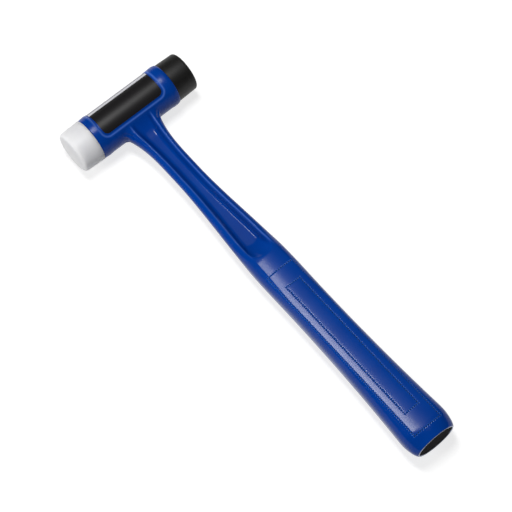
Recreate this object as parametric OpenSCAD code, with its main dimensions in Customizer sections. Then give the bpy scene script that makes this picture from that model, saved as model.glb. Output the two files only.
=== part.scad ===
// Soft face hammer: a one-piece die-cast body with two screw-in striking faces.
// The hammer lies on its side on the plane z = 0. The handle runs along +X to the tail,
// the soft face points to +Y, the nylon face to -Y, and the label pocket faces up.

/* [Barrel] */
// Diameter of the barrel that carries both faces
barrel_d = 25.6; // [23:0.1:32]
// Length of the barrel between its two end faces
barrel_l = 53.4; // [48:0.2:70]
// Length of the rounded edge at the soft face end
barrel_edge_l = 2.5; // [1:0.1:4]
// Radial drop of the rounded edge at the soft face end
barrel_edge_drop = 0.8; // [0.3:0.05:1]
// Chamfer at the nylon face end
barrel_chamfer = 0.3; // [0.1:0.05:0.8]

/* [Label] */
// Width of the label across the barrel, seen square on
label_w = 19.7; // [10:0.1:20]
// Length of the label along the barrel
label_l = 40; // [24:0.5:44]
// Distance of the label from the middle of the barrel, towards the nylon face
label_offset = 1; // [0:0.1:2]
// Turn of the label round the barrel, away from the handle, in degrees
label_turn = 12; // [0:1:20]
// Thickness of the label
label_t = 0.2; // [0.1:0.05:0.4]
// Corner radius of the label
label_corner_r = 3; // [1:0.1:4]
// Depth of the pocket that the label lies in
pocket_depth = 0.5; // [0.45:0.05:0.8]
// Blue border between the label and the edge of its pocket
pocket_border = 1.1; // [0.4:0.1:1.4]
// Glue gap under the label
glue_gap = 0.02; // [0.01:0.01:0.04]

/* [Striking faces] */
// Diameter of the nylon face where it meets the barrel
nylon_d = 25.5; // [20:0.1:25.6]
// Length of the nylon face outside the barrel
nylon_l = 13.4; // [11:0.1:20]
// Draft of the nylon face on each side, in degrees
nylon_draft = 2.2; // [0:0.1:4]
// Edge radius of the nylon face
nylon_edge_r = 2; // [0.5:0.1:3]
// Diameter of the soft face where it meets the barrel
soft_d = 24; // [20:0.1:24]
// Length of the soft face outside the barrel
soft_l = 13.2; // [11:0.1:20]
// Draft of the soft face on each side, in degrees
soft_draft = 1.8; // [0:0.1:4]
// Edge radius of the soft face
soft_edge_r = 1.6; // [0.5:0.1:3]

/* [Studs] */
// Outer diameter of the threaded studs
stud_d = 10; // [6:0.5:12]
// Length of a stud inside the barrel
stud_in_barrel = 12.5; // [8:0.5:16]
// Length of a stud inside its face
stud_in_face = 8; // [5:0.5:9]
// Chamfer at both ends of a stud
stud_chamfer = 0.8; // [0.3:0.1:1.5]
// Radial running clearance around a stud
stud_clearance = 0.05; // [0.02:0.01:0.1]
// Free depth of the barrel bores beyond the studs
bore_relief = 2; // [1:0.5:4]

/* [Handle] */
// Distance from the barrel axis to the tail end
handle_l = 253; // [225:0.2:300]
// Width of the neck at its narrowest place
neck_w = 14.8; // [12:0.1:18]
// Place of the narrowest neck, from the barrel axis
neck_x = 50.6; // [46:0.2:60]
// Width that the neck gains at the barrel, on each side
root_flare = 3.8; // [2:0.1:5]
// Length of the flare at the barrel
root_l = 32; // [20:1:32]
// Fillet between the sides of the neck and the barrel
root_fillet_r = 1.8; // [1:0.1:3]
// Angle round the barrel, from straight up, at which the front of the neck runs out, in degrees
root_front_turn = 52; // [50:1:60]
// Width of the shoulder at the front of the grip
shoulder_w = 22.9; // [20:0.1:26]
// Place of the shoulder, from the barrel axis
shoulder_x = 128; // [126:1:136]
// Width of the grip at its waist
waist_w = 22.3; // [20:0.1:26]
// Place of the waist, from the barrel axis
waist_x = 155; // [145:1:165]
// Width of the swell near the tail
swell_w = 28.4; // [25:0.1:34]
// Distance from the tail end to the place where the swell is reached
swell_gap = 10.8; // [8:0.2:16]
// Length of the rounded tail
tail_round_l = 13.8; // [10:0.2:18]
// Width of the flat tail end
tail_end_w = 23.4; // [21:0.1:24]
// Depth of the flat tail end
tail_end_d = 17.2; // [16:0.1:18]

/* [Neck recess and grip panel] */
// Half thickness of the web at the floor of the neck recess
web_z = 1.25; // [1:0.05:2]
// Width of the sloping wall of the recess
recess_wall = 3.2; // [2:0.1:4]
// Half width of the recess at the narrowest neck
recess_y = 5; // [4:0.1:5.5]
// Height of the recess edge at the narrowest neck
recess_z = 3.3; // [2.4:0.05:3.6]
// Height that the recess edge gains at the barrel
root_rise = 2.2; // [0.5:0.1:3]
// Half width that the recess gains at the barrel
root_spread = 2.1; // [1:0.1:2.5]
// Straight length of the recess behind the narrowest neck
straight_l = 6; // [0:1:15]
// Place of the rounded end of the recess, from the barrel axis
recess_end_x = 118.8; // [110:0.2:124]
// Length of the ramp from the recess floor to its rounded end
recess_ramp = 12; // [8:0.5:16]
// Height of the recess edge where its end starts
recess_end_z = 4.5; // [3.8:0.1:5]
// Length of the rise from the neck to the panel before the ramp
rise_before = 4; // [2:0.5:8]
// Length of the rise from the neck to the panel behind the recess
rise_behind = 3; // [1:0.5:6]
// Half width of the front panel next to the recess
panel_front_y = 7.4; // [6:0.1:8]
// Half width of the front panel along the grip
panel_y = 8.6; // [7:0.1:9.5]
// Height of the panel above the handle axis at the recess
panel_front_z = 7.5; // [6.5:0.1:8]
// Height of the panel above the handle axis at the tail
panel_tail_z = 9.5; // [8.8:0.1:11]
// Crown of the panel at its middle
panel_crown = 0.45; // [0:0.05:0.8]
// Distance from the tail end to the end of the panel
panel_tail_gap = 7; // [5:0.1:10]
// Exponent of the oval side between panel and widest place
side_power = 2.5; // [2:0.1:3.2]

/* [Grip core and end plug] */
// Length of the plug in the tail
plug_l = 5; // [3:0.5:10]
// Width of the blue rim around the plug
plug_rim = 0.5; // [0.4:0.1:1.2]
// Gap between the plug and its seat
plug_gap = 0.04; // [0.02:0.01:0.1]
// Depth of the slot core behind the plug
core_l = 105; // [40:1:115]
// Width of the slot core
core_w = 15; // [8:0.5:16]
// Height of the slot core
core_h = 8; // [5:0.5:8.5]

/* [Hidden] */
$fn = 96;

body_blue = [0.02, 0.16, 0.55];
label_black = [0.09, 0.09, 0.09];
nylon_white = [0.87, 0.87, 0.88];
urethane_black = [0.13, 0.13, 0.13];
stud_grey = [0.62, 0.63, 0.65];

barrel_r = barrel_d / 2;
barrel_half = barrel_l / 2;
stud_r = stud_d / 2;
bore_r = stud_r + stud_clearance;
bore_depth = stud_in_barrel + bore_relief;
pocket_r = barrel_r - pocket_depth;
past = 1;

// The barrel centre, placed so that the origin is under the middle of the hammer
head_centre = [(barrel_r - handle_l) / 2, (nylon_l - soft_l) / 2, barrel_r];

// Places along the handle that follow from the sizes above
root_end = barrel_r + root_l;
panel_end = handle_l - panel_tail_gap;
panel_blend = 3;
round_start = handle_l - tail_round_l;
swell_x = handle_l - swell_gap;
recess_end_l = panel_front_y;
ramp_start = recess_end_x - recess_ramp;
widen_end = recess_end_x - recess_ramp / 3;
rise_start = ramp_start - rise_before;
rise_end = recess_end_x + rise_behind;
fillet_end = barrel_r + 2 * root_fillet_r;
// The root fillet dips a little under the barrel surface, so that the two cross cleanly
root_bite = 0.15;
touch_r = barrel_r - root_bite;
front_touch_x = touch_r * sin(root_front_turn);
scoop_end = (touch_r + front_fillet(web_z)) * sin(root_front_turn);
// The tail rounding is cut by the end face a little before it has turned a quarter
round_reach = 1.015 * tail_round_l;
core_end = handle_l - plug_l - core_l;

// Points of one quarter of a handle section: over the recess floor and its wall, then round the side
floor_steps = 2;
wall_steps = 4;
front_steps = floor_steps + wall_steps;
side_steps = 6;
// Spans of the handle as [start, end, number of sections]
spans = [[barrel_r / 3, front_touch_x, 3], [front_touch_x, fillet_end, 9], [fillet_end, scoop_end, 5],
         [scoop_end, root_end, 5], [root_end, rise_start, 12], [rise_start, ramp_start, 3],
         [ramp_start, recess_end_x, 9], [recess_end_x, rise_end, 3], [rise_end, waist_x, 6],
         [waist_x, round_start, 9], [round_start, handle_l, 10]];

function limit(u) = max(0, min(1, u));
function ease(u) = u * u * (3 - 2 * u);
function ramp(x, from, to) = ease(limit((x - from) / (to - from)));
function mix(a, b, w) = a + (b - a) * w;

// Rounding of the tail: 0 before it starts, near 1 at the end face
function tail_round(x) = 1 - sqrt(1 - pow(limit((x - round_start) / round_reach), 2));
tail_round_end = tail_round(handle_l);

// How far the flare at the barrel has grown, from 0 at its end to 1 at the barrel
function flare(x) = limit((root_end - x) / root_l);

// Half width of the handle before the tail is rounded
function grip_half(x) =
    neck_w / 2 + root_flare * pow(flare(x), 3)
    + (shoulder_w - neck_w) / 2 * ramp(x, neck_x, shoulder_x)
    + (waist_w - shoulder_w) / 2 * ramp(x, shoulder_x, waist_x)
    + (swell_w - waist_w) / 2 * pow(max(0, (x - waist_x) / (swell_x - waist_x)), 2);
tail_drop_y = (grip_half(handle_l) - tail_end_w / 2) / tail_round_end;
function half_width(x) = grip_half(x) - tail_drop_y * tail_round(x);

// Half width and height of the edge between the front and the side
function edge_y(x) =
    recess_y + root_spread * pow(flare(x), 2)
    + (panel_front_y - recess_y) * ramp(x, neck_x + straight_l, widen_end)
    + (panel_y - panel_front_y) * ramp(x, recess_end_x, waist_x);
function edge_z(x) =
    recess_z + root_rise * pow(flare(x), 2)
    + (recess_end_z - recess_z) * ramp(x, neck_x, ramp_start)
    + (panel_front_z - recess_end_z) * ramp(x, rise_start, rise_end)
    + (panel_tail_z - panel_front_z) * limit((x - recess_end_x) / (panel_end - recess_end_x));
tail_drop_z = (edge_z(handle_l) - tail_end_d / 2) / tail_round_end;

// How far down the recess wall a point of the front is: 0 at the edge, 1 on the floor
function end_place(x, y) =
    recess_end_x - recess_end_l * (1 - sqrt(1 - pow(limit(y / edge_y(x)), 2)));
function recess(x, y) =
    min(limit((edge_y(x) - y) / recess_wall), limit((end_place(x, y) - x) / recess_ramp));
function panel_z(x, y) =
    edge_z(x) + panel_crown * ramp(x, ramp_start, rise_end) * (1 - pow(limit(y / edge_y(x)), 2));
function front_z(x, y) = mix(panel_z(x, y), web_z, recess(x, y));

// Radius of the front fillet at a height, so that the whole front runs out along one line of the barrel
function front_fillet(z) =
    max(root_fillet_r, (touch_r * cos(root_front_turn) - z) / (1 - cos(root_front_turn)));

// A neck point moved outwards by a ball of radius r that rolls along the neck and the barrel.
// Inside the barrel the point sinks back to the height of the neck.
function root_point(x, point, out, r) =
    let (ball_z = point[1] + r * out[1], ball_x = sqrt(pow(touch_r + r, 2) - pow(ball_z, 2)),
         touch_x = ball_x * touch_r / (touch_r + r), gap = max(0, ball_x - max(x, touch_x)),
         lift = r - sqrt(pow(r, 2) - pow(gap, 2)))
    [point[0] + lift * out[0], point[1] + lift * out[1] * min(1, x / touch_x)];
function rooted(x, point, out, r) = x < root_end ? root_point(x, point, out, r) : point;

// Places of the front points, with one on each edge of the recess floor
function front_y(x, i) =
    i <= floor_steps ? (edge_y(x) - recess_wall) * i / floor_steps
        : edge_y(x) - recess_wall * (front_steps - i) / wall_steps;
function front_points(x) = [for (i = [0 : front_steps])
    let (y = front_y(x, i), z = front_z(x, y)) rooted(x, [y, z], [0, 1], front_fillet(z))];

// Oval side from the edge down to the widest place
function side_points(x) =
    let (a = half_width(x), p = 2 / side_power,
         turn = acos(pow(edge_y(x) / a, 1 / p)), b = edge_z(x) / pow(sin(turn), p))
    [for (i = [1 : side_steps])
        let (share = i / side_steps, t = turn * (1 - share),
             r = mix(front_fillet(edge_z(x)), root_fillet_r, ramp(share, 0, 0.5)))
        rooted(x, [a * pow(cos(t), p), b * pow(sin(t), p)], [cos(t), sin(t)], r)];

// Past the panel the section turns into the plain oval of the tail end
function tail_oval(x, p) =
    let (a = half_width(x), b = edge_z(x) - tail_drop_z * tail_round(x),
         t = atan2(p[1] / edge_z(x), p[0] / a), w = ramp(x, panel_end - panel_blend, handle_l))
    [mix(p[0], a * cos(t), w), mix(p[1], b * sin(t), w)];
function quarter(x) = [for (p = concat(front_points(x), side_points(x))) tail_oval(x, p)];

quarter_n = front_steps + side_steps;
function ring(x) =
    let (q = quarter(x))
    concat([for (i = [0 : quarter_n]) [x, q[i][0], q[i][1]]],
           [for (i = [1 : quarter_n]) [x, q[quarter_n - i][0], -q[quarter_n - i][1]]],
           [for (i = [1 : quarter_n]) [x, -q[i][0], -q[i][1]]],
           [for (i = [1 : quarter_n - 1]) [x, -q[quarter_n - i][0], q[quarter_n - i][1]]]);

stations = concat([for (s = spans) for (i = [0 : s[2] - 1]) mix(s[0], s[1], i / s[2])], [handle_l]);

// Solid through a row of rings with equal numbers of points
module loft(rings) {
    n = len(rings[0]);
    last = len(rings) - 1;
    points = [for (r = rings) for (p = r) p];
    walls = [for (k = [0 : last - 1]) for (i = [0 : n - 1])
        let (j = (i + 1) % n)
        each [[k * n + i, k * n + j, (k + 1) * n + j], [k * n + i, (k + 1) * n + j, (k + 1) * n + i]]];
    caps = [[for (i = [0 : n - 1]) n - 1 - i], [for (i = [0 : n - 1]) last * n + i]];
    polyhedron(points = points, faces = concat(walls, caps));
}

// Rounded rectangle with its long side along Y
module label_outline(w, l, r) {
    square([w - 2 * r, l], center = true);
    square([w, l - 2 * r], center = true);
    for (sx = [-1, 1])
        for (sy = [-1, 1])
            translate([sx * (w / 2 - r), sy * (l / 2 - r)])
                circle(r);
}

// Cylinder on the Y axis between two places
module along_y(r, from, to) {
    translate([0, from, 0])
        rotate([-90, 0, 0])
            cylinder(r = r, h = to - from);
}

// Piece of a thin shell of the barrel at the label's place, with a rounded rectangular outline
module barrel_shell(w, l, r, inside_r, outside_r) {
    translate([0, -label_offset, 0])
        rotate([0, -label_turn, 0])
            intersection() {
                difference() {
                    along_y(outside_r, -l, l);
                    along_y(inside_r, -l - past, l + past);
                }
                linear_extrude(height = barrel_d)
                    label_outline(w, l, r);
            }
}

// Barrel profile turned about its axis, with a rounded edge at the soft face end
module barrel() {
    rotate([-90, 0, 0])
        rotate_extrude()
            polygon(concat(
                [[0, -barrel_half], [barrel_r - barrel_chamfer, -barrel_half],
                 [barrel_r, -barrel_half + barrel_chamfer]],
                [for (t = [0 : 15 : 90])
                    [barrel_r - barrel_edge_drop * (1 - cos(t)),
                     barrel_half - barrel_edge_l * (1 - sin(t))]],
                [[0, barrel_half]]));
}

// Oval of the tail end, smaller by an inset, standing on the end plane
module tail_oval_prism(inset, from, to) {
    translate([from, 0, 0])
        rotate([90, 0, 90])
            linear_extrude(height = to - from)
                polygon([for (t = [0 : 7.5 : 359])
                    [(tail_end_w / 2 - inset) * cos(t), (tail_end_d / 2 - inset) * sin(t)]]);
}

// Slot core along the grip
module grip_core() {
    r = core_h / 2;
    reach = core_w / 2 - r;
    length = core_l + past;
    translate([core_end, -reach, -r])
        cube([length, 2 * reach, core_h]);
    for (side = [-1, 1])
        translate([core_end, side * reach, 0])
            rotate([0, 90, 0])
                cylinder(r = r, h = length);
}

module hammer_body() {
    color(body_blue)
        translate(head_centre)
            difference() {
                union() {
                    barrel();
                    loft([for (x = stations) ring(x)]);
                }
                along_y(bore_r, -barrel_half - past, -barrel_half + bore_depth);
                along_y(bore_r, barrel_half - bore_depth, barrel_half + past);
                barrel_shell(label_w + 2 * pocket_border, label_l + 2 * pocket_border,
                             label_corner_r + pocket_border, pocket_r, barrel_r + past);
                tail_oval_prism(plug_rim, handle_l - plug_l, handle_l + past);
                grip_core();
            }
}

module front_label() {
    color(label_black)
        translate(head_centre)
            barrel_shell(label_w, label_l, label_corner_r,
                         pocket_r + glue_gap, pocket_r + glue_gap + label_t);
}

// Striking face on the +Y side: flat front, rounded edge, drafted side and a blind stud hole
module face(d, l, draft, edge_r) {
    tip_r = d / 2 - l * tan(draft);
    difference() {
        rotate([-90, 0, 0])
            rotate_extrude()
                polygon(concat(
                    [[0, barrel_half], [d / 2, barrel_half]],
                    [for (t = [draft : (90 - draft) / 8 : 90.001])
                        [tip_r - edge_r * (1 - cos(t)), barrel_half + l - edge_r * (1 - sin(t))]],
                    [[0, barrel_half + l]]));
        along_y(bore_r, barrel_half - past, barrel_half + stud_in_face);
    }
}

// Threaded stud on the +Y side, drawn at its outer diameter
module stud() {
    from = barrel_half - stud_in_barrel;
    to = barrel_half + stud_in_face;
    rotate([-90, 0, 0])
        rotate_extrude()
            polygon([[0, from], [stud_r - stud_chamfer, from], [stud_r, from + stud_chamfer],
                     [stud_r, to - stud_chamfer], [stud_r - stud_chamfer, to], [0, to]]);
}

module nylon_face() {
    color(nylon_white)
        translate(head_centre)
            mirror([0, 1, 0])
                face(nylon_d, nylon_l, nylon_draft, nylon_edge_r);
}

module nylon_stud() {
    color(stud_grey)
        translate(head_centre)
            mirror([0, 1, 0])
                stud();
}

module soft_face() {
    color(urethane_black)
        translate(head_centre)
            face(soft_d, soft_l, soft_draft, soft_edge_r);
}

module soft_stud() {
    color(stud_grey)
        translate(head_centre)
            stud();
}

module end_plug() {
    color(label_black)
        translate(head_centre)
            tail_oval_prism(plug_rim + plug_gap, handle_l - plug_l, handle_l);
}

hammer_body();
front_label();
nylon_face();
nylon_stud();
soft_face();
soft_stud();
end_plug();
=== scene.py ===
import math

import bmesh
import bpy
import numpy as np
from mathutils import Matrix, Vector


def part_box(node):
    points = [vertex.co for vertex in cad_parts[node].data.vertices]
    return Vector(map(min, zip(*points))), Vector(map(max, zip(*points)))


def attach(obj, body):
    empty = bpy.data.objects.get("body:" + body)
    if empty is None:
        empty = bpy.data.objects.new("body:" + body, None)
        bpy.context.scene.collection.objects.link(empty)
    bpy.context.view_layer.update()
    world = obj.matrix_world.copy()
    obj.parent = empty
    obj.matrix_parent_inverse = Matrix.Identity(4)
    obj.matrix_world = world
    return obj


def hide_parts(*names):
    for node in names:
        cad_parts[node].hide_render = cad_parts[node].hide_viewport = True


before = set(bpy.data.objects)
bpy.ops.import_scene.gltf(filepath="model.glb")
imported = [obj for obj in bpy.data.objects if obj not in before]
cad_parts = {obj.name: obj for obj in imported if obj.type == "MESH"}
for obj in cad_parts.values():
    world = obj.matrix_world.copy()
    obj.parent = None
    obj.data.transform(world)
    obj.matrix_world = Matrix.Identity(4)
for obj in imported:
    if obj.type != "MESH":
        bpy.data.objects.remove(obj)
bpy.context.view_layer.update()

# Sizes are millimetres from the barrel centre: x to the tail, y to the soft face, z out of the label
MM = 0.001


def box_mm(node):
    """Lowest and highest corner of a node, in millimetres in the part's frame."""
    return [np.array(corner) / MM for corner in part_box(node)]


# Sizes that the frame gives
body_low, body_high = box_mm("hammer_body")
BARREL_R = (body_high[2] - body_low[2]) / 2
BARREL_HALF = (body_high[1] - body_low[1]) / 2
HEAD = np.array([body_low[0] + BARREL_R, *(body_low[1:] + body_high[1:]) / 2])
HANDLE_L = body_high[0] - HEAD[0]


def local_box(node):
    """Lowest and highest corner of a node, in millimetres from the barrel centre."""
    return [corner - HEAD for corner in box_mm(node)]


# Handle outline, as in the part, but the neck is drawn 0.5 wider
NECK_W, NECK_X = 15.3, 50.6
ROOT_FLARE, ROOT_L, ROOT_FILLET_R = 3.8, 32.0, 1.8
ROOT_FRONT_TURN = math.radians(52)
SHOULDER_W, SHOULDER_X = 22.9, 128.0
WAIST_W, WAIST_X = 22.3, 155.0
SWELL_W, SWELL_X = 28.4, HANDLE_L - 10.8
TAIL_ROUND_L, TAIL_END_W, TAIL_END_D = 13.8, 23.4, 17.2
ROUND_START, ROUND_REACH = HANDLE_L - TAIL_ROUND_L, 1.015 * TAIL_ROUND_L
ROOT_END = BARREL_R + ROOT_L

# Neck recess and grip panel, as in the part, but the rise to the panel ends 1.5 sooner
WEB_Z, RECESS_WALL, RECESS_Y, RECESS_Z = 1.25, 3.2, 5.0, 3.3
ROOT_RISE, ROOT_SPREAD, STRAIGHT_L = 2.2, 2.1, 6.0
RECESS_END_X, RECESS_RAMP, RECESS_END_Z = 118.8, 12.0, 4.5
PANEL_FRONT_Y, PANEL_Y, PANEL_FRONT_Z, PANEL_TAIL_Z = 7.4, 8.6, 7.5, 9.5
PANEL_CROWN, PANEL_END, PANEL_BLEND = 0.45, HANDLE_L - 7.0, 3.0
RAMP_START = RECESS_END_X - RECESS_RAMP
WIDEN_END = RECESS_END_X - RECESS_RAMP / 3
RISE_START, RISE_END = RAMP_START - 4.0, RECESS_END_X + 1.5
CROWN_END = RECESS_END_X - 2.0
SIDE_POWER = 2.5

# Roundings of the casting that the part leaves sharp, as shares of the recess wall and of the ramp
EDGE_ROUND, FLOOR_ROUND = 0.16, 0.28
END_ROUND, CORNER_ROUND = 0.05, 0.12
# Length of the rounded edge of the front, to either side of it
CREASE_L = 0.45

# Dotted rectangles of the grip
DOT_PITCH = 1.3356
DOT_R, DOT_DEPTH = 0.48, 0.35
DOT_STEPS = 6
OUTER_START, OUTER_PITCHES = 129.8, 87
INNER_START_PITCH, INNER_PITCHES = 8, 70
OUTER_END = OUTER_START + OUTER_PITCHES * DOT_PITCH
INNER_START = OUTER_START + INNER_START_PITCH * DOT_PITCH
INNER_END = INNER_START + INNER_PITCHES * DOT_PITCH
OUTER_Y, INNER_Y = PANEL_Y, 4.55

# Label and its pocket
LABEL_TURN = math.radians(12)
LABEL_T, LABEL_CORNER_R, POCKET_DEPTH, POCKET_BORDER = 0.2, 3.0, 0.5, 1.1
LABEL_W = 19.7
GLUE_GAP = 0.02
POCKET_R = BARREL_R - POCKET_DEPTH

# Tail plug and its seat
PLUG_RIM, RIM_EDGE = 0.5, 0.06
PLUG_L = 5.0


def limit(u):
    """u kept between 0 and 1."""
    return np.clip(u, 0, 1)


def ease(u):
    """Smooth step of a value between 0 and 1."""
    return u * u * (3 - 2 * u)


def ramp(x, start, end):
    """Smooth step from 0 at the start to 1 at the end."""
    return ease(limit((x - start) / (end - start)))


def mix(a, b, w):
    """a where w is 0 and b where it is 1."""
    return a + (b - a) * w


def soft_hinge(u, r):
    """0 below zero and u above it, with a rounded corner of half length r."""
    return np.where(u < -r, 0, np.where(u > r, u, (u + r) ** 2 / (4 * r)))


def soft_limit(u, low_r, high_r):
    """u between 0 and 1, with a rounded corner of its own half length at each end."""
    return soft_hinge(u, low_r) - soft_hinge(u - 1, high_r)


def soft_min(a, b, r):
    """The smaller of two values, with a rounded corner where they cross."""
    w = limit(0.5 + (b - a) / (2 * r))
    return mix(b, a, w) - r * w * (1 - w)


# Shape of the handle
def tail_round(x):
    """Drop of the tail's rounding, 0 before it."""
    return 1 - np.sqrt(1 - limit((x - ROUND_START) / ROUND_REACH) ** 2)


def flare(x):
    """1 at the barrel and 0 from the end of the root on."""
    return limit((ROOT_END - x) / ROOT_L)


def grip_half(x):
    """Half width of the handle without the tail's rounding."""
    swell = np.maximum(0, (x - WAIST_X) / (SWELL_X - WAIST_X)) ** 2
    return (NECK_W / 2 + ROOT_FLARE * flare(x) ** 3
            + (SHOULDER_W - NECK_W) / 2 * ramp(x, NECK_X, SHOULDER_X)
            + (WAIST_W - SHOULDER_W) / 2 * ramp(x, SHOULDER_X, WAIST_X)
            + (SWELL_W - WAIST_W) / 2 * swell)


def half_width(x):
    """Half width of the handle."""
    drop = (grip_half(HANDLE_L) - TAIL_END_W / 2) / tail_round(HANDLE_L)
    return grip_half(x) - drop * tail_round(x)


def edge_y(x):
    """Half width of the front, up to its edge."""
    return (RECESS_Y + ROOT_SPREAD * flare(x) ** 2
            + (PANEL_FRONT_Y - RECESS_Y) * ramp(x, NECK_X + STRAIGHT_L, WIDEN_END)
            + (PANEL_Y - PANEL_FRONT_Y) * ramp(x, RECESS_END_X, WAIST_X))


def edge_z(x):
    """Height of the edge of the front."""
    return (RECESS_Z + ROOT_RISE * flare(x) ** 2
            + (RECESS_END_Z - RECESS_Z) * ramp(x, NECK_X, RAMP_START)
            + (PANEL_FRONT_Z - RECESS_END_Z) * ramp(x, RISE_START, RISE_END)
            + (PANEL_TAIL_Z - PANEL_FRONT_Z) * limit((x - RECESS_END_X) / (PANEL_END - RECESS_END_X)))


def panel_z(x, y):
    """Height of the crowned panel, as if there were no recess."""
    crown = PANEL_CROWN * ramp(x, RAMP_START, CROWN_END)
    return edge_z(x) + crown * (1 - limit(y / edge_y(x)) ** 2)


def front_z(x, y):
    """Height of the front: the panel, or the recess floor with its walls and round end."""
    wall = soft_limit((edge_y(x) - y) / RECESS_WALL, EDGE_ROUND, FLOOR_ROUND)
    end_place = RECESS_END_X - PANEL_FRONT_Y * (1 - np.sqrt(1 - limit(y / edge_y(x)) ** 2))
    end = soft_limit((end_place - x) / RECESS_RAMP, END_ROUND, END_ROUND)
    return mix(panel_z(x, y), WEB_Z, soft_min(wall, end, CORNER_ROUND))


def side(x, share):
    """Oval side: share 0 at the edge of the front, 1 at the widest place."""
    a, power = half_width(x), 2 / SIDE_POWER
    turn = np.arccos((edge_y(x) / a) ** (1 / power))
    b = edge_z(x) / np.sin(turn) ** power
    t = turn * (1 - share)
    return a * np.cos(t) ** power, b * np.sin(t) ** power


def tail_oval(x, y, z):
    """Past the panel the section turns into the plain oval of the tail end."""
    a = half_width(x)
    drop = (edge_z(HANDLE_L) - TAIL_END_D / 2) / tail_round(HANDLE_L)
    b = edge_z(x) - drop * tail_round(x)
    t = np.arctan2(z / edge_z(x), y / a)
    w = ramp(x, PANEL_END - PANEL_BLEND, HANDLE_L)
    return mix(y, a * np.cos(t), w), mix(z, b * np.sin(t), w)


# Points across a quarter of the handle's section
FLOOR_N, WALL_N, CREASE_N, SIDE_N = 25, 13, 7, 12
QUARTER_N = FLOOR_N + WALL_N + CREASE_N + SIDE_N
# Share of the side over which the side's length is measured
SIDE_STEP = 0.01


def quarter(x):
    """y and z of a quarter section for an array of places with one column for each point."""
    floor, wall, crease, rest = np.split(x, np.cumsum([FLOOR_N, WALL_N, CREASE_N]), axis=1)
    y_floor = (edge_y(floor) - RECESS_WALL) * np.linspace(0, 1, FLOOR_N)
    wall_share = np.arange(1, WALL_N + 1) / (WALL_N + 1)
    y_wall = edge_y(wall) - RECESS_WALL + (RECESS_WALL - CREASE_L) * wall_share
    # The crease is a short curve from the front over the edge to the side
    y_step, z_step = side(crease, SIDE_STEP)
    speed = np.hypot(y_step - edge_y(crease), z_step - edge_z(crease)) / SIDE_STEP
    share = CREASE_L / speed
    y_from = edge_y(crease) - CREASE_L
    z_from = front_z(crease, y_from)
    y_to, z_to = side(crease, share)
    w = np.linspace(0, 1, CREASE_N)
    y_crease = mix(mix(y_from, edge_y(crease), w), mix(edge_y(crease), y_to, w), w)
    z_crease = mix(mix(z_from, edge_z(crease), w), mix(edge_z(crease), z_to, w), w)
    rest_share = mix(share[:, -1:], 1, np.arange(1, SIDE_N + 1) / SIDE_N)
    y_rest, z_rest = side(rest, rest_share)
    y = np.hstack([y_floor, y_wall, y_crease, y_rest])
    z = np.hstack([front_z(floor, y_floor), front_z(wall, y_wall), z_crease, z_rest])
    return tail_oval(x, y, z)


def around(x, y, z):
    """Whole rings from quarters: +y front, +y back, -y back, -y front."""
    def ordered(q):
        return np.hstack([q, q[:, -2::-1], q[:, 1:], q[:, -2:0:-1]])

    n = QUARTER_N - 1
    sign_y = np.r_[np.ones(2 * n + 1), -np.ones(2 * n - 1)]
    sign_z = np.r_[np.ones(n + 1), -np.ones(2 * n), np.ones(n - 1)]
    return np.stack([ordered(x), ordered(y) * sign_y, ordered(z) * sign_z], axis=2)


# Mesh making
SHARP_ANGLE = math.radians(55)


class Parts:
    """Points and faces of one mesh, gathered grid by grid."""

    def __init__(self):
        self.points, self.faces, self.count = [], [], 0

    def grid(self, rings, closed=True, keep=None):
        """Adds rows of points with quads between those kept, and gives the points' numbers."""
        rows, columns = rings.shape[:2]
        place = np.arange(rows * columns).reshape(rows, columns)
        following = np.roll(place, -1, axis=1)
        quads = np.stack([place[:-1], following[:-1], following[1:], place[1:]], axis=2)
        if not closed:
            quads = quads[:, :-1]
        quads = quads.reshape(-1, 4)
        if keep is not None:
            quads = quads[keep.reshape(-1)[quads].all(axis=1)]
        self.faces += (quads + self.count).tolist()
        return place + self.add_points(rings.reshape(-1, 3))

    def add_points(self, points):
        """Adds points and gives the number of the first."""
        first = self.count
        self.points.append(np.array(points, float))
        self.count += len(points)
        return first

    def cap(self, numbers, point):
        """Closes a ring with a fan to one point."""
        middle = self.add_points([point])
        self.faces += [[int(a), int(b), middle] for a, b in zip(numbers, np.roll(numbers, -1))]

    def strip(self, first, second):
        """Quads between two closed loops of points."""
        loops = zip(first, np.roll(first, -1), np.roll(second, -1), second)
        self.faces += [[int(number) for number in corner] for corner in loops]

    def make(self, name):
        """A smooth closed mesh object in metres in the part's frame."""
        mesh = bpy.data.meshes.new(name)
        mesh.from_pydata(((np.vstack(self.points) + HEAD) * MM).tolist(), [], self.faces)
        form = bmesh.new()
        form.from_mesh(mesh)
        loose = [point for point in form.verts if not point.link_faces]
        bmesh.ops.delete(form, geom=loose, context="VERTS")
        rims = [edge for edge in form.edges if edge.is_boundary]
        bmesh.ops.triangle_fill(form, edges=rims, use_beauty=True, normal=(1, 0, 0))
        bmesh.ops.recalc_face_normals(form, faces=form.faces)
        form.to_mesh(mesh)
        form.free()
        mesh.polygons.foreach_set("use_smooth", [True] * len(mesh.polygons))
        mesh.set_sharp_from_angle(angle=SHARP_ANGLE)
        piece = bpy.data.objects.new(name, mesh)
        bpy.context.scene.collection.objects.link(piece)
        return piece


def lathe(profile, segments):
    """Rings about the barrel axis through points of (radius, y)."""
    turn = np.arange(segments) * 2 * np.pi / segments
    r, y = np.array(profile, float).T
    return np.stack([np.outer(r, np.sin(turn)), np.repeat(y[:, None], segments, 1),
                     np.outer(r, np.cos(turn))], axis=2)


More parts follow.
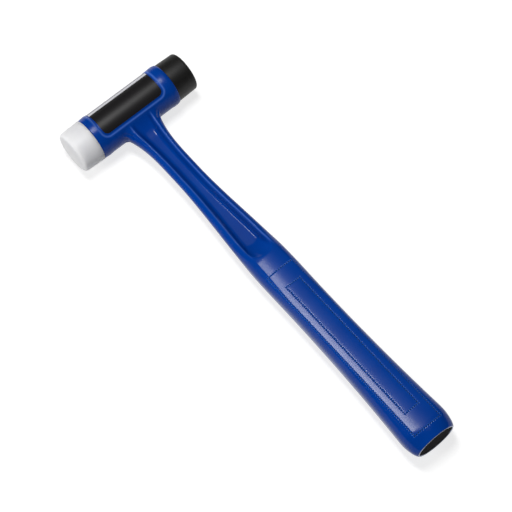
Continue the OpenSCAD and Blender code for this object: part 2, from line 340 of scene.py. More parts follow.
def rounded(points, steps):
    """A profile through (radius, y, corner radius), with each corner as an arc of its own radius."""
    out = []
    for i, (r, y, corner) in enumerate(points):
        here = np.array([r, y])
        if corner == 0:
            out.append(here)
            continue
        back = np.array(points[i - 1][:2]) - here
        ahead = np.array(points[i + 1][:2]) - here
        back, ahead = back / np.linalg.norm(back), ahead / np.linalg.norm(ahead)
        half = math.acos(np.clip(back @ ahead, -1, 1)) / 2
        reach = corner / math.tan(half)
        middle = here + (back + ahead) / np.linalg.norm(back + ahead) * corner / math.sin(half)
        first, last = here + back * reach - middle, here + ahead * reach - middle
        for w in np.linspace(0, 1, steps):
            arm = mix(first, last, w)
            out.append(middle + arm / np.linalg.norm(arm) * corner)
    return out


# Barrel sizes: its collars stand a little proud of the rest
COLLAR_RISE, LEFT_FALL = 0.2, 0.2
BODY_R = BARREL_R - COLLAR_RISE
RIGHT_COLLAR_Y = (20.2, 23.2)
LEFT_COLLAR_Y = (19.5, 22.9)

# Rings in the root, the neck, the recess end, the gap before the dots and the tail
ROOT_RINGS, NECK_RINGS, END_RINGS, GAP_RINGS, TAIL_RINGS = 40, 50, 70, 10, 22

# Root fillet: its rings, the rounds that find it, and the length behind it in which rings turn straight
ROOT_STEPS, ROOT_ROUNDS = 12, 12
ROOT_FADE_L = 26.0
# Points over which its directions are smoothed, and how far up a direction has to point to be on the front
OUT_BLEND, FRONT_UP = 5, 0.5


def handle_places():
    """Places of the rings: close in the root and the recess end, and a few to each dot of the grip."""
    dots = np.arange(OUTER_START - DOT_PITCH, OUTER_END + DOT_PITCH, DOT_PITCH / DOT_STEPS)
    return np.r_[np.linspace(BODY_R + ROOT_FILLET_R, ROOT_END, ROOT_RINGS)[:-1],
                 np.linspace(ROOT_END, RISE_START, NECK_RINGS)[:-1],
                 np.linspace(RISE_START, RISE_END, END_RINGS)[:-1],
                 np.linspace(RISE_END, dots[0], GAP_RINGS)[:-1],
                 dots, np.linspace(dots[-1], HANDLE_L, TAIL_RINGS)[1:]]


def outward(y, z):
    """Directions across the section in which the root fillet grows: straight up on the whole front."""
    normal = np.stack([np.maximum(-np.gradient(z), 0), np.gradient(y)], axis=1)
    normal[0], normal[-1] = (0, 1), (1, 0)
    normal /= np.linalg.norm(normal, axis=1, keepdims=True)
    kernel = np.hanning(2 * OUT_BLEND + 1)
    padded = np.vstack([normal[:0:-1] * [-1, 1], normal, normal[-2::-1] * [1, -1]])
    smooth = np.stack([np.convolve(padded[:, k], kernel, "same") for k in (0, 1)], 1)
    smooth = smooth[len(normal) - 1:2 * len(normal) - 1]
    return smooth / np.linalg.norm(smooth, axis=1, keepdims=True)


def root_radius(z, out):
    """Radius of the root fillet: on the front, all of it runs out along one line of the barrel."""
    reach = math.cos(ROOT_FRONT_TURN)
    front = np.maximum(ROOT_FILLET_R, (BODY_R * reach - z) / (1 - reach))
    return mix(ROOT_FILLET_R, front, ramp(out[:, 1], FRONT_UP, 1))


def root_start():
    """Where a ball that rolls along the barrel and the neck touches the neck, for each section point."""
    x = np.full((1, QUARTER_N), BODY_R + ROOT_FILLET_R)
    for _ in range(ROOT_ROUNDS):
        y, z = quarter(x)
        out = outward(y[0], z[0])
        r = root_radius(z[0], out)
        x = np.sqrt((BODY_R + r) ** 2 - (z[0] + r * out[:, 1]) ** 2)[None]
    return x, y, z, out, r[:, None]


def root_skirt(x, y, z, out, r):
    """Rings of the fillet from the barrel to the first ring of the neck."""
    first = np.column_stack([np.zeros(QUARTER_N), -out])
    centre = np.column_stack([x[0], y[0], z[0]]) - r * first
    last = -centre * [1, 0, 1] / (BODY_R + r)
    angle = np.arccos(np.clip((first * last).sum(1), -1, 1))[:, None]
    rings = []
    for w in np.linspace(1, 0, ROOT_STEPS)[:-1]:
        arm = (np.sin((1 - w) * angle) * first + np.sin(w * angle) * last) / np.sin(angle)
        rings.append(centre + r * arm)
    return np.array(rings)


def handle_rings():
    """All rings of the handle from the barrel to the tail end."""
    root = root_start()
    places = handle_places()
    fade = 1 - ramp(places, places[0], places[0] + ROOT_FADE_L)
    x = places[:, None] + fade[:, None] * (root[0] - places[0])
    y, z = quarter(x)
    skirt = root_skirt(*root)
    x, y, z = (np.vstack([skirt[:, :, k], grid]) for k, grid in enumerate((x, y, z)))
    return around(x, y, z)


def dot_centres():
    """Places of the dots on one side, as (x, y)."""
    centres = []
    for start, end, along, half in ((OUTER_START, OUTER_END, OUTER_PITCHES, OUTER_Y),
                                    (INNER_START, INNER_END, INNER_PITCHES, INNER_Y)):
        for x in np.linspace(start, end, along + 1):
            centres += [(x, -half), (x, half)]
        for y in np.linspace(-half, half, round(2 * half / DOT_PITCH) + 1)[1:-1]:
            centres += [(start, y), (end, y)]
    return centres


def press_dots(rings):
    """Presses round dots into the front and the back of the grip, and gives how deep each point went."""
    normal = np.cross(np.gradient(rings, axis=1), np.gradient(rings, axis=0))
    normal /= np.linalg.norm(normal, axis=2, keepdims=True)
    normal *= np.sign((normal * (rings * [0, 1, 1])).sum(2, keepdims=True))
    flat = rings.copy()
    depth = np.zeros(rings.shape[:2])
    place = flat[:, 0, 0]
    for x, y in dot_centres():
        rows = np.flatnonzero(np.abs(place - x) < DOT_R)
        near = flat[rows]
        for facing in (1, -1):
            hidden = near[:, :, 2] * facing <= 0
            away = np.where(hidden, np.inf, np.hypot(near[:, :, 0] - x, near[:, :, 1] - y))
            centre = near.reshape(-1, 3)[away.argmin()]
            distance = np.linalg.norm(near - centre, axis=2)
            depth[rows] = np.maximum(depth[rows], 1 - limit(distance / DOT_R) ** 2)
    rings -= DOT_DEPTH * depth[:, :, None] * normal
    return depth


def tail_rings(last_ring):
    """Flat rim of the tail and the seat of its plug."""
    steps = [(RIM_EDGE, 0.0), (PLUG_RIM - RIM_EDGE, 0.0), (PLUG_RIM, RIM_EDGE), (PLUG_RIM, PLUG_L)]
    rings = []
    for inset, depth in steps:
        ring = last_ring.copy()
        ring[:, 1] *= 1 - inset / (TAIL_END_W / 2)
        ring[:, 2] *= 1 - inset / (TAIL_END_D / 2)
        ring[:, 0] = HANDLE_L - depth
        rings.append(ring)
    return np.array(rings)


# Barrel mesh
BORE_R, BORE_DEPTH, BORE_MOUTH = 5.05, 14.5, 0.6
EDGE_L, EDGE_DROP, END_CHAMFER = 2.5, 0.8, 0.3
EDGE_STEP_DEG, EDGE_END = 7.5, 0.05
POCKET_WALL = 1.0
ROOT_MARGIN = 0.15
label_low, label_high = local_box("front_label")
LABEL_L = label_high[1] - label_low[1]
LABEL_Y = (label_high[1] + label_low[1]) / 2
POCKET_HALF_L = LABEL_L / 2 + POCKET_BORDER
POCKET_LOW_Y, POCKET_HIGH_Y = LABEL_Y - POCKET_HALF_L, LABEL_Y + POCKET_HALF_L
POCKET_HALF_A = math.asin((LABEL_W / 2 + POCKET_BORDER) / BARREL_R)
POCKET_CORNER_R = LABEL_CORNER_R + POCKET_BORDER


def fine_steps(*spans):
    """Values through spans of (start, end, step), without the last."""
    return np.hstack([np.linspace(a, b, max(2, round((b - a) / step) + 1))[:-1] for a, b, step in spans])


def barrel_turns():
    """Angles of the barrel's lines from +Z towards the handle, close together at the pocket's edges."""
    fine, coarse = math.radians(0.65), math.radians(2.5)
    corner = (POCKET_CORNER_R + POCKET_WALL) / BARREL_R
    lip = POCKET_WALL / BARREL_R
    low, high = -LABEL_TURN - POCKET_HALF_A, -LABEL_TURN + POCKET_HALF_A
    return fine_steps((low - lip, low + corner, fine), (low + corner, high - corner, coarse),
                      (high - corner, high + lip, fine), (high + lip, low - lip + 2 * np.pi, coarse))


def barrel_lengths():
    """Places of the barrel's rings between its rounded ends."""
    lip, fine, coarse = 0.14, 0.3, 0.6
    corner = POCKET_CORNER_R + POCKET_WALL
    low, high = POCKET_LOW_Y, POCKET_HIGH_Y
    places = fine_steps((-BARREL_HALF + END_CHAMFER, low - POCKET_WALL, fine),
                        (low - POCKET_WALL, low + corner, lip), (low + corner, high - corner, coarse),
                        (high - corner, high + POCKET_WALL, lip),
                        (high + POCKET_WALL, BARREL_HALF - EDGE_L, fine))
    return np.r_[places, BARREL_HALF - EDGE_L]


def barrel_radius(y):
    """Radius of the barrel with its two crowned collars."""
    collars = ramp(y, *RIGHT_COLLAR_Y) + ramp(-y, *LEFT_COLLAR_Y)
    return BODY_R + COLLAR_RISE * collars - LEFT_FALL * ramp(-y, LEFT_COLLAR_Y[1], BARREL_HALF)


def pocket_inside(turn, y):
    """Distance inside the pocket's outline, below zero outside it."""
    across = np.abs((turn + LABEL_TURN + np.pi) % (2 * np.pi) - np.pi) - POCKET_HALF_A
    along = np.abs(y - LABEL_Y) - POCKET_HALF_L
    over_a = np.maximum(across * BARREL_R + POCKET_CORNER_R, 0)
    over_l = np.maximum(along + POCKET_CORNER_R, 0)
    corner = POCKET_CORNER_R - np.hypot(over_a, over_l)
    straight = np.minimum(-across * BARREL_R, -along)
    return np.where((over_a > 0) | (over_l > 0), corner, straight)


def pocket_share(turn, y):
    """0 on the barrel and 1 on the pocket's floor, with a soft wall between them."""
    return ease(limit(pocket_inside(turn, y) / POCKET_WALL + 0.5))


def barrel_rings():
    """Rings from the bottom of one bore over the outside to the bottom of the other."""
    turn, lengths = barrel_turns(), barrel_lengths()
    direction = np.stack([np.sin(turn), np.zeros_like(turn), np.cos(turn)], axis=1)

    def turned(radius, y):
        rings = radius[:, :, None] * direction
        rings[:, :, 1] = y[:, None]
        return rings

    def plain(profile):
        r, y = np.array(profile, float).T
        return turned(np.repeat(r[:, None], len(turn), 1), y)

    end, end_r = BARREL_HALF, barrel_radius(-BARREL_HALF)
    bore = [(BORE_R, end - BORE_DEPTH), (BORE_R, end - BORE_MOUTH), (BORE_R + BORE_MOUTH, end)]
    left = [(r, -y) for r, y in bore]
    left += [(end_r - END_CHAMFER, -end), (end_r - END_CHAMFER / 3, -end + END_CHAMFER / 3)]
    right = [(BARREL_R - EDGE_DROP * (1 - math.cos(t)), end - EDGE_L * (1 - math.sin(t)))
             for t in np.radians(np.arange(EDGE_STEP_DEG, 90, EDGE_STEP_DEG))]
    right += [(BARREL_R - EDGE_DROP - EDGE_END, end)] + bore[::-1]
    radius = mix(barrel_radius(lengths)[:, None], POCKET_R, pocket_share(turn[None], lengths[:, None]))
    return np.vstack([plain(left), turned(radius, lengths), plain(right)])


def outside_root(barrel, loop):
    """Which points of the barrel lie outside the line where the neck runs out on it."""
    reach = np.interp(np.arctan2(barrel[:, :, 2], barrel[:, :, 1]), np.arctan2(loop[:, 2], loop[:, 1]),
                      np.hypot(loop[:, 1], loop[:, 2]), period=2 * np.pi)
    outside = np.hypot(barrel[:, :, 1], barrel[:, :, 2]) > reach + ROOT_MARGIN
    skin = np.hypot(barrel[:, :, 0], barrel[:, :, 2]) > BODY_R - ROOT_MARGIN
    return outside | (barrel[:, :, 0] < 0) | ~skin


# Where the pocket's lip and the recess crests get painted highlight lines, the coat is worn off at the tail,
# the recess walls get painted shade, and the coat is matt
LIP_OUT, LIP_W = 0.3, 0.5
CREST_IN, CREST_W, CREST_SHARE = 0.2, 0.35, 0.85
WALL_SHADE_IN, WALL_SHADE_W = 1.7, 1.0
BAND_MATT, BARREL_FADE = 0.4, 6.0


def mark_coat(piece, dots):
    """Point attributes of the coat: matt places, painted highlight lines on the edges, the worn rim, dots
    and painted shade on the recess walls.
    """
    mesh = piece.data
    places = np.empty(len(mesh.vertices) * 3)
    mesh.vertices.foreach_get("co", places)
    x, y, z = (places.reshape(-1, 3) / MM - HEAD).T
    across = np.abs(y)
    outer = (x > CROWN_END) & (x < OUTER_END) & (across < OUTER_Y)
    inner = (x > INNER_START) & (x < INNER_END) & (across < INNER_Y)
    # lip and crest mark where a lighter colour paints highlight lines along the pocket's lip and the recess
    # crests
    lip = np.exp(-((pocket_inside(np.arctan2(x, z), y) + LIP_OUT) / LIP_W) ** 2)
    crest = np.exp(-((across - edge_y(x) + CREST_IN) / CREST_W) ** 2)
    root_x = BODY_R * math.sin(ROOT_FRONT_TURN)
    recess = ramp(x, root_x, BODY_R) * (1 - ramp(x, RAMP_START, RECESS_END_X))
    crest *= CREST_SHARE * recess
    # A darker colour paints shade on the recess walls, just inside the crests
    wall_shade = recess * np.exp(-((across - edge_y(x) + WALL_SHADE_IN) / WALL_SHADE_W) ** 2)
    worn = x > HANDLE_L - 2 * RIM_EDGE
    barrel = 1 - ramp(np.hypot(x, z), BARREL_R, BARREL_R + BARREL_FADE)
    matt = np.maximum(barrel, BAND_MATT * (outer & ~inner))
    # The handle's points come first in the mesh, ring by ring
    dot = np.r_[dots.reshape(-1), np.zeros(len(x) - dots.size)]
    # The edge attribute carries the painted highlight lines
    coat = {"matt": matt, "edge": np.maximum(lip, crest), "worn": worn, "dot": dot, "wall_shade": wall_shade}
    for name, values in coat.items():
        mesh.attributes.new(name, "FLOAT", "POINT").data.foreach_set("value", values.astype(float))


def make_hammer_body():
    """Handle and barrel as one mesh, with the marks of its coat."""
    parts = Parts()
    rings = handle_rings()
    dots = press_dots(rings)
    rings = np.vstack([rings, tail_rings(rings[-1])])
    numbers = parts.grid(rings)
    parts.cap(numbers[-1], (HANDLE_L - PLUG_L, 0, 0))
    barrel = barrel_rings()
    numbers = parts.grid(barrel, keep=outside_root(barrel, rings[0]))
    parts.cap(numbers[0], (0, barrel[0, 0, 1], 0))
    parts.cap(numbers[-1], (0, barrel[-1, 0, 1], 0))
    piece = parts.make("hammer_casting")
    mark_coat(piece, dots)
    return piece


# Label mesh
LABEL_EDGE = 0.06
LABEL_COLUMNS, LABEL_ROWS, LABEL_CORNER_ROWS = 49, 40, 14


def make_label():
    """Thin film on the pocket's floor with rounded corners and a soft edge."""
    outer_r = POCKET_R + GLUE_GAP + LABEL_T
    half_a, half_l = math.asin(LABEL_W / 2 / outer_r), LABEL_L / 2
    straight = half_l - LABEL_CORNER_R
    corner_rows = half_l - LABEL_CORNER_R * (1 - np.sin(np.linspace(0, np.pi / 2, LABEL_CORNER_ROWS)))
    rows = np.r_[-corner_rows[::-1], np.linspace(-straight, straight, LABEL_ROWS)[1:-1], corner_rows]
    over = np.maximum(np.abs(rows) - straight, 0)
    cut = LABEL_CORNER_R - np.sqrt(np.maximum(LABEL_CORNER_R ** 2 - over ** 2, 0))

    def film(r, inset):
        reach = half_a - (cut + inset) / outer_r
        turn = reach[:, None] * np.linspace(-1, 1, LABEL_COLUMNS) - LABEL_TURN
        y = np.repeat((rows * (1 - inset / half_l) + LABEL_Y)[:, None], LABEL_COLUMNS, 1)
        return np.stack([r * np.sin(turn), y, r * np.cos(turn)], axis=2)

    def border(n):
        return np.r_[n[0], n[1:, -1], n[-1, -2::-1], n[-2:0:-1, 0]]

    parts = Parts()
    upper = border(parts.grid(film(outer_r, LABEL_EDGE), closed=False))
    lower = border(parts.grid(film(outer_r - LABEL_T, 0), closed=False))
    shoulder = film(outer_r - LABEL_EDGE, 0)
    loop = border(np.arange(len(rows) * LABEL_COLUMNS).reshape(len(rows), LABEL_COLUMNS))
    middle = parts.add_points(shoulder.reshape(-1, 3)[loop]) + np.arange(len(loop))
    parts.strip(upper, middle)
    parts.strip(middle, lower)
    return parts.make("front_label_film")


# Striking faces: draft in degrees, edge radius and dome of each
NYLON_FORM, SOFT_FORM = (2.2, 2.0, 0.4), (1.8, 1.6, 0.3)
FACE_SEGMENTS, FACE_CORNER_STEPS = 128, 9
DOME_SHARES = (0.85, 0.7, 0.5, 0.3, 0.1)
SEAT_EDGE, HOLE_MOUTH, HOLE_END_GAP = 0.25, 0.5, 0.02

# Studs: the thread groove is a V with a flat crest and a flat root
THREAD_PITCH, THREAD_DEPTH, STUD_CHAMFER = 1.5, 0.75, 0.8
GROOVE_TOP, GROOVE_SLOPE = 1.45, 4
THREAD_STEPS, STUD_SEGMENTS = 14, 60


def make_face(node, name, facing, draft, edge_r, dome):
    """Striking face with a drafted side, a rounded edge, a slight dome and a blind stud hole."""
    low, high = local_box(node)
    radius, length = (high[0] - low[0]) / 2, high[1] - low[1]
    seat, tip = BARREL_HALF, BARREL_HALF + length
    rim_r, rim = radius - length * math.tan(math.radians(draft)), tip - dome
    stud_low, stud_high = local_box(node.replace("face", "stud"))
    hole = max(abs(stud_low[1]), abs(stud_high[1])) + HOLE_END_GAP
    profile = rounded([(BORE_R, hole, 0), (BORE_R, seat + HOLE_MOUTH, 0), (BORE_R + HOLE_MOUTH, seat, 0),
                       (radius, seat, SEAT_EDGE), (rim_r, rim, edge_r), (0, rim, 0)],
                      FACE_CORNER_STEPS)[:-1]
    flat_r = profile[-1][0]
    profile += [(flat_r * share, tip - dome * share ** 2) for share in DOME_SHARES]
    parts = Parts()
    numbers = parts.grid(lathe([(r, y * facing) for r, y in profile], FACE_SEGMENTS))
    parts.cap(numbers[0], (0, hole * facing, 0))
    parts.cap(numbers[-1], (0, tip * facing, 0))
    return parts.make(name)


def make_stud(node, name):
    """Stud with a right-hand thread and chamfered ends."""
    low, high = local_box(node)
    radius, length = (high[0] - low[0]) / 2, high[1] - low[1]
    turn = np.arange(STUD_SEGMENTS) * 2 * np.pi / STUD_SEGMENTS
    y = np.linspace(low[1], high[1], round(length / THREAD_PITCH * THREAD_STEPS))[:, None]
    phase = (y / THREAD_PITCH + turn / (2 * np.pi)) % 1
    groove = limit(GROOVE_TOP - GROOVE_SLOPE * np.abs(phase - 0.5))
    from_end = np.minimum(y - low[1], high[1] - y)
    r = np.minimum(radius - THREAD_DEPTH * groove, radius - STUD_CHAMFER + from_end)
    rings = np.stack([r * np.sin(turn), np.repeat(y, STUD_SEGMENTS, 1), r * np.cos(turn)], axis=2)
    parts = Parts()
    numbers = parts.grid(rings)
    parts.cap(numbers[0], (0, low[1], 0))
    parts.cap(numbers[-1], (0, high[1], 0))
    return parts.make(name)


# Tail plug
PLUG_EDGE, PLUG_SINK, PLUG_SEGMENTS = 0.35, 0.2, 144
PLUG_STEP_DEG, PLUG_SHARES = 15, (0.25, 0.5, 0.75)


def make_plug():
    """Oval plug with a rounded edge, sunk a little into the tail."""
    low, high = local_box("end_plug")
    half_y, half_z = (high[1] - low[1]) / 2, (high[2] - low[2]) / 2
    top = high[0] - PLUG_SINK
    turn = np.arange(PLUG_SEGMENTS) * 2 * np.pi / PLUG_SEGMENTS
    rows = [(0, low[0])]
    rows += [(PLUG_EDGE * (1 - math.cos(t)), top - PLUG_EDGE * (1 - math.sin(t)))
             for t in np.radians(np.arange(0, 91, PLUG_STEP_DEG))]
    rows += [(half_z * share, top) for share in PLUG_SHARES]
    rings = np.array([np.stack([np.full_like(turn, x), (half_y - inset) * np.cos(turn),
                                (half_z - inset) * np.sin(turn)], axis=1) for inset, x in rows])
    parts = Parts()
    numbers = parts.grid(rings)
    parts.cap(numbers[0], (low[0], 0, 0))
    parts.cap(numbers[-1], (top, 0, 0))
    return parts.make("tail_plug")


# Materials: values of the noise at which its spots have their two colours
SPOT_PLACES = (0.3, 0.7)


def new_material(name):
    """A material with its node tree and its shader."""
    material = bpy.data.materials.new(name)
    material.use_nodes = True
    tree = material.node_tree
    return material, tree, tree.nodes["Principled BSDF"]


def add(tree, kind, links=None, **values):
    """Adds a node, links sockets named in links and sets the other values."""
    node = tree.nodes.new(kind)
    for key, value in values.items():
        if hasattr(node, key):
            setattr(node, key, value)
        else:
            node.inputs[key.replace("_", " ")].default_value = value
    for key, socket in (links or {}).items():
        tree.links.new(socket, node.inputs[key])
    return node


def noise(tree, scale, detail=3.0):
    """Noise on the object's own coordinates, with scale in waves per metre."""
    place = add(tree, "ShaderNodeTexCoord")
    return add(tree, "ShaderNodeTexNoise", {"Vector": place.outputs["Object"]},
               Scale=scale, Detail=detail).outputs["Fac"]


def spread(tree, socket, low, high):
    """Maps a 0 to 1 value to low to high."""
    return add(tree, "ShaderNodeMapRange", {"Value": socket}, To_Min=low, To_Max=high).outputs["Result"]


def stretch(tree, socket, start, end):
    """Maps start to end to 0 to 1."""
    return add(tree, "ShaderNodeMapRange", {"Value": socket}, From_Min=start, From_Max=end).outputs["Result"]


def shade(tree, socket, *stops, interpolation="LINEAR"):
    """Colour through stops of (position, colour)."""
    node = add(tree, "ShaderNodeValToRGB", {"Fac": socket})
    elements = node.color_ramp.elements
    node.color_ramp.interpolation = interpolation
    while len(elements) < len(stops):
        elements.new(0.5)
    for element, (position, colour) in zip(elements, stops):
        element.position = position
        element.color = (*colour, 1)
    return node.outputs["Color"]


def mottle(tree, colours, scale):
    """Soft spots of two colours, with scale in waves per metre."""
    return shade(tree, noise(tree, scale), *zip(SPOT_PLACES, colours))


def blend(tree, factor, first, colour):
    """Colour between a socket's colour and a fixed one."""
    node = add(tree, "ShaderNodeMix", data_type="RGBA")
    amount, one, other = (node.inputs[k] for k in (0, 6, 7))
    tree.links.new(factor, amount)
    tree.links.new(first, one)
    other.default_value = (*colour, 1)
    return node.outputs[2]


def connect(tree, shader, **sockets):
    """Links sockets to the shader's inputs of the same names."""
    for key, socket in sockets.items():
        tree.links.new(socket, shader.inputs[key.replace("_", " ")])


def bump(tree, shader, socket, distance):
    """Small bumps of a height in metres."""
    node = add(tree, "ShaderNodeBump", {"Height": socket}, Distance=distance)
    tree.links.new(node.outputs["Normal"], shader.inputs["Normal"])


# Colours of the blue coat, with painted shade for the recess walls, painted highlight lines for the edges,
# and a painted glint round each dot and painted shade in its centre
COAT_SPOTS = (0.0, 0.039, 0.275), (0.0, 0.047, 0.31)
WALL_SHADE_COLOUR, EDGE_HIGHLIGHT_COLOUR, COAT_WORN = (0.0, 0.012, 0.11), (0.05, 0.135, 0.5), (0.3, 0.33, 0.42)
DOT_GLINT_COLOUR, DOT_SHADE_COLOUR = (0.04, 0.15, 0.55), (0.0, 0.006, 0.04)
# How much the painted wall shade and the painted edge highlight show, and the depths in a dot over which its
# painted glint and painted shade set in
WALL_SHADE_TINT, EDGE_HIGHLIGHT_TINT = 0.5, 0.85
DOT_GLINT_REACH, DOT_SHADE_REACH = (0.0, 0.25), (0.27, 0.57)
# Roughness of the coat, and how much its marked places add to it
COAT_ROUGH = (0.13, 0.17)
MATT_RISE, EDGE_ROUGH_RISE, DOT_RISE, WORN_RISE = 0.12, 0.06, 0.2, 0.15


def blue_coat():
    """Gloss enamel with a faint orange peel, painted highlight lines on the edges, painted shade on the
    recess walls, a painted glint and painted shade in each dot, worn off at the tail.
    """
    material, tree, shader = new_material("blue_coat")
    matt, edge, worn, dot, wall_shade = (add(tree, "ShaderNodeAttribute", attribute_name=name).outputs["Fac"]
                                    for name in ("matt", "edge", "worn", "dot", "wall_shade"))
    colour = mottle(tree, COAT_SPOTS, scale=45)
    # Painted shade on the recess walls
    colour = blend(tree, spread(tree, wall_shade, 0.0, WALL_SHADE_TINT), colour, WALL_SHADE_COLOUR)
    # Painted highlight lines along the pocket's lip and the recess crests
    colour = blend(tree, spread(tree, edge, 0.0, EDGE_HIGHLIGHT_TINT), colour, EDGE_HIGHLIGHT_COLOUR)
    # Painted glint round the rim of each dot, and painted shade in its centre
    colour = blend(tree, stretch(tree, dot, *DOT_GLINT_REACH), colour, DOT_GLINT_COLOUR)
    colour = blend(tree, stretch(tree, dot, *DOT_SHADE_REACH), colour, DOT_SHADE_COLOUR)
    colour = blend(tree, worn, colour, COAT_WORN)
    rough = spread(tree, noise(tree, scale=160), *COAT_ROUGH)
    for amount, rise in ((matt, MATT_RISE), (edge, EDGE_ROUGH_RISE), (dot, DOT_RISE), (worn, WORN_RISE)):
        more = spread(tree, amount, 0.0, rise)
        rough = add(tree, "ShaderNodeMath", {0: rough, 1: more}, operation="ADD").outputs[0]
    connect(tree, shader, Base_Color=colour, Roughness=rough, Metallic=worn)
    shader.inputs["Specular IOR Level"].default_value = 0.14
    bump(tree, shader, noise(tree, scale=320, detail=2.0), distance=0.000005)
    return material


# Print of the label by angle round the barrel: a light double stripe along the upper edge
STRIPE_TURNS = (-50.0, -46.0, -34.0)
LABEL_LIGHT, LABEL_LINE, LABEL_BLACK = (0.62, 0.62, 0.66), (0.05, 0.05, 0.06), (0.0105, 0.0098, 0.0105)


def label_film():
    """Glossy black print with a plain light stripe."""
    material, tree, shader = new_material("label_film")
    place = add(tree, "ShaderNodeTexCoord").outputs["Object"]
    local = add(tree, "ShaderNodeVectorMath", {0: place}, operation="SUBTRACT")
    local.inputs[1].default_value = HEAD * MM
    axes = add(tree, "ShaderNodeSeparateXYZ", {0: local.outputs[0]})
    turn = add(tree, "ShaderNodeMath", {0: axes.outputs["X"], 1: axes.outputs["Z"]}, operation="ARCTAN2")
    share = stretch(tree, turn.outputs[0], -math.pi / 2, math.pi / 2)
    stops = [(0.5 + degrees / 180, colour)
             for degrees, colour in zip(STRIPE_TURNS, (LABEL_LINE, LABEL_LIGHT, LABEL_BLACK))]
    colour = shade(tree, share, (0.0, LABEL_LIGHT), *stops, interpolation="CONSTANT")
    rough = spread(tree, noise(tree, scale=300), low=0.34, high=0.42)
    connect(tree, shader, Base_Color=colour, Roughness=rough)
    shader.inputs["Specular IOR Level"].default_value = 0.2
    bump(tree, shader, noise(tree, scale=250, detail=2.0), distance=0.00001)
    return material


def nylon():
    """Satin white nylon that lets some light through."""
    material, tree, shader = new_material("nylon")
    colour = mottle(tree, ((0.75, 0.75, 0.77), (0.8, 0.8, 0.81)), scale=120)
    rough = spread(tree, noise(tree, scale=500), low=0.4, high=0.5)
    connect(tree, shader, Base_Color=colour, Roughness=rough)
    shader.inputs["Subsurface Weight"].default_value = 0.9
    shader.inputs["Subsurface Radius"].default_value = (1, 1, 1)
    shader.inputs["Subsurface Scale"].default_value = 0.006
    shader.inputs["Specular IOR Level"].default_value = 0.3
    bump(tree, shader, noise(tree, scale=900, detail=2.0), distance=0.00001)
    return material


def polyurethane():
    """Satin black polyurethane with a fine moulded skin."""
    material, tree, shader = new_material("polyurethane")
    colour = mottle(tree, ((0.006, 0.0058, 0.0056), (0.0085, 0.0082, 0.008)), scale=200)
    rough = spread(tree, noise(tree, scale=700), low=0.42, high=0.54)
    connect(tree, shader, Base_Color=colour, Roughness=rough)
    shader.inputs["Specular IOR Level"].default_value = 0.28
    bump(tree, shader, noise(tree, scale=1500), distance=0.00001)
    return material


def zinc_steel():
    """Zinc plated steel of the studs."""
    material, tree, shader = new_material("zinc_steel")
    colour = mottle(tree, ((0.5, 0.5, 0.5), (0.62, 0.62, 0.6)), scale=250)
    rough = spread(tree, noise(tree, scale=900), low=0.25, high=0.4)
    connect(tree, shader, Base_Color=colour, Roughness=rough)
    shader.inputs["Metallic"].default_value = 1
    return material


def plug_plastic():
    """Matt black plastic with a fine texture."""
    material, tree, shader = new_material("plug_plastic")
    colour = mottle(tree, ((0.002, 0.002, 0.003), (0.004, 0.004, 0.005)), scale=300)
    rough = spread(tree, noise(tree, scale=900), low=0.6, high=0.75)
    connect(tree, shader, Base_Color=colour, Roughness=rough)
    shader.inputs["Specular IOR Level"].default_value = 0.02
    bump(tree, shader, noise(tree, scale=1400), distance=0.00004)
    return material


# Stage: the floor's half length in metres, its grey and the light that lifts it to white
FLOOR_REACH, FLOOR_GREY, FLOOR_LIFT = 4.0, 0.38, 0.74
WORLD_LIGHT = 0.06

# Lamps: place and size in metres, power in watts, and whether glossy surfaces mirror it
LAMPS = (("key", (-0.24, 0.032, 1.08), (0.38, 0.2), 8.2, True),
         ("top", (-0.25, 0.25, 1.1), (0.9, 0.15), 0.3, True),
         ("side", (-0.35, -0.74, 0.16), (0.8, 0.3), 5.0, False),
         ("fill", (1.1, -0.3, 0.45), (0.6, 0.4), 2.6, False))


def make_floor():
    """Pale floor that the camera sees as white, with the object's shadow on it."""
    mesh = bpy.data.meshes.new("floor")
    corners = [(-FLOOR_REACH, -FLOOR_REACH), (FLOOR_REACH, -FLOOR_REACH),
               (FLOOR_REACH, FLOOR_REACH), (-FLOOR_REACH, FLOOR_REACH)]
    mesh.from_pydata([(x, y, 0) for x, y in corners], [], [(0, 1, 2, 3)])
    floor = bpy.data.objects.new("floor", mesh)
    bpy.context.scene.collection.objects.link(floor)
    material, tree, shader = new_material("floor")
    ray = add(tree, "ShaderNodeLightPath").outputs
    seen = ray["Is Camera Ray"]
    for kind in ("Is Glossy Ray", "Is Transmission Ray"):
        seen = add(tree, "ShaderNodeMath", {0: seen, 1: ray[kind]}, operation="MAXIMUM").outputs[0]
    connect(tree, shader, Emission_Strength=spread(tree, seen, 0.0, FLOOR_LIFT))
    shader.inputs["Base Color"].default_value = (FLOOR_GREY, FLOOR_GREY, FLOOR_GREY, 1)
    shader.inputs["Roughness"].default_value = 0.9
    shader.inputs["Specular IOR Level"].default_value = 0
    shader.inputs["Emission Color"].default_value = (1, 1, 1, 1)
    mesh.materials.append(material)


def make_world():
    """Faint white light from all sides."""
    world = bpy.data.worlds.new("studio")
    bpy.context.scene.world = world
    world.use_nodes = True
    background = world.node_tree.nodes["Background"]
    background.inputs["Color"].default_value = (1, 1, 1, 1)
    background.inputs["Strength"].default_value = WORLD_LIGHT


def make_lamp(name, place, size, power, mirrored):
    """Soft rectangular lamp that looks at the middle of the hammer."""
    data = bpy.data.lights.new(name, "AREA")
    data.shape = "RECTANGLE"
    data.size, data.size_y = size
    data.energy = power
    lamp = bpy.data.objects.new(name, data)
    bpy.context.scene.collection.objects.link(lamp)
    back = Vector(place).normalized()
    across = Vector((0, 1, 0)).cross(back).normalized()
    lamp.matrix_world = Matrix((across, back.cross(across), back)).transposed().to_4x4()
    lamp.location = place
    lamp.visible_glossy = mirrored


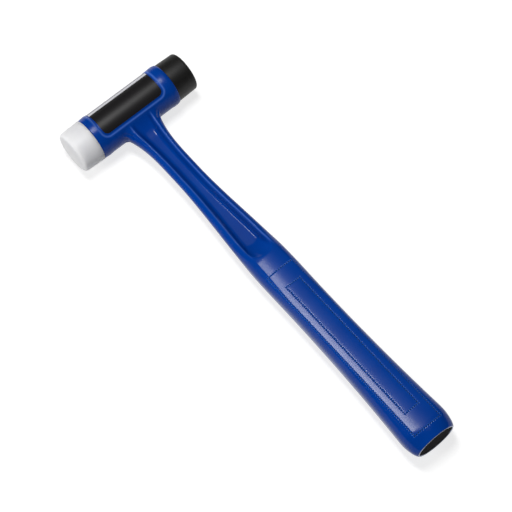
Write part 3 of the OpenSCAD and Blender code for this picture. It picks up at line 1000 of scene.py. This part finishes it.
# Camera, as the photograph was taken: turned about y, tipped towards the nylon face and rolled
VIEW_TURN, VIEW_TIP, VIEW_ROLL = (math.radians(a) for a in (20.87, 13.32, 52.116))
VIEW_AIM = (113.05, -2.956, 0.0)
VIEW_DISTANCE = 1100.0
VIEW_LENS, VIEW_SENSOR = 145.49, 36
VIEW_CLIP = (0.01, 100)


def make_camera():
    """The camera of the photograph."""
    data = bpy.data.cameras.new("photo_camera")
    data.lens, data.sensor_width = VIEW_LENS, VIEW_SENSOR
    data.clip_start, data.clip_end = VIEW_CLIP
    camera = bpy.data.objects.new("photo_camera", data)
    bpy.context.scene.collection.objects.link(camera)
    back = Vector((math.sin(VIEW_TURN) * math.cos(VIEW_TIP), -math.sin(VIEW_TIP),
                   math.cos(VIEW_TURN) * math.cos(VIEW_TIP)))
    level = (-back).cross(Vector((0, 1, 0))).normalized()
    upright = level.cross(-back)
    right = level * math.cos(VIEW_ROLL) + upright * math.sin(VIEW_ROLL)
    up = upright * math.cos(VIEW_ROLL) - level * math.sin(VIEW_ROLL)
    camera.matrix_world = Matrix((right, up, back)).transposed().to_4x4()
    camera.location = (Vector(VIEW_AIM) + Vector(HEAD) + back * VIEW_DISTANCE) * MM
    bpy.context.scene.camera = camera


def dress(piece, body, node, material):
    """Gives a piece its material, parents it to the body it moves with and hides the part it stands for."""
    piece.data.materials.append(material)
    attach(piece, body)
    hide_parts(node)


make_camera()
make_floor()
make_world()
for lamp_values in LAMPS:
    make_lamp(*lamp_values)

steel = zinc_steel()
dress(make_hammer_body(), "hammer", "hammer_body", blue_coat())
dress(make_label(), "hammer", "front_label", label_film())
dress(make_plug(), "hammer", "end_plug", plug_plastic())
dress(make_face("nylon_face", "nylon_tip_face", -1, *NYLON_FORM),
      "nylon_tip", "nylon_face", nylon())
dress(make_face("soft_face", "soft_tip_face", 1, *SOFT_FORM),
      "soft_tip", "soft_face", polyurethane())
dress(make_stud("nylon_stud", "nylon_screw_stud"), "nylon_screw", "nylon_stud", steel)
dress(make_stud("soft_stud", "soft_screw_stud"), "soft_screw", "soft_stud", steel)

bpy.context.scene.view_settings.view_transform = "Standard"
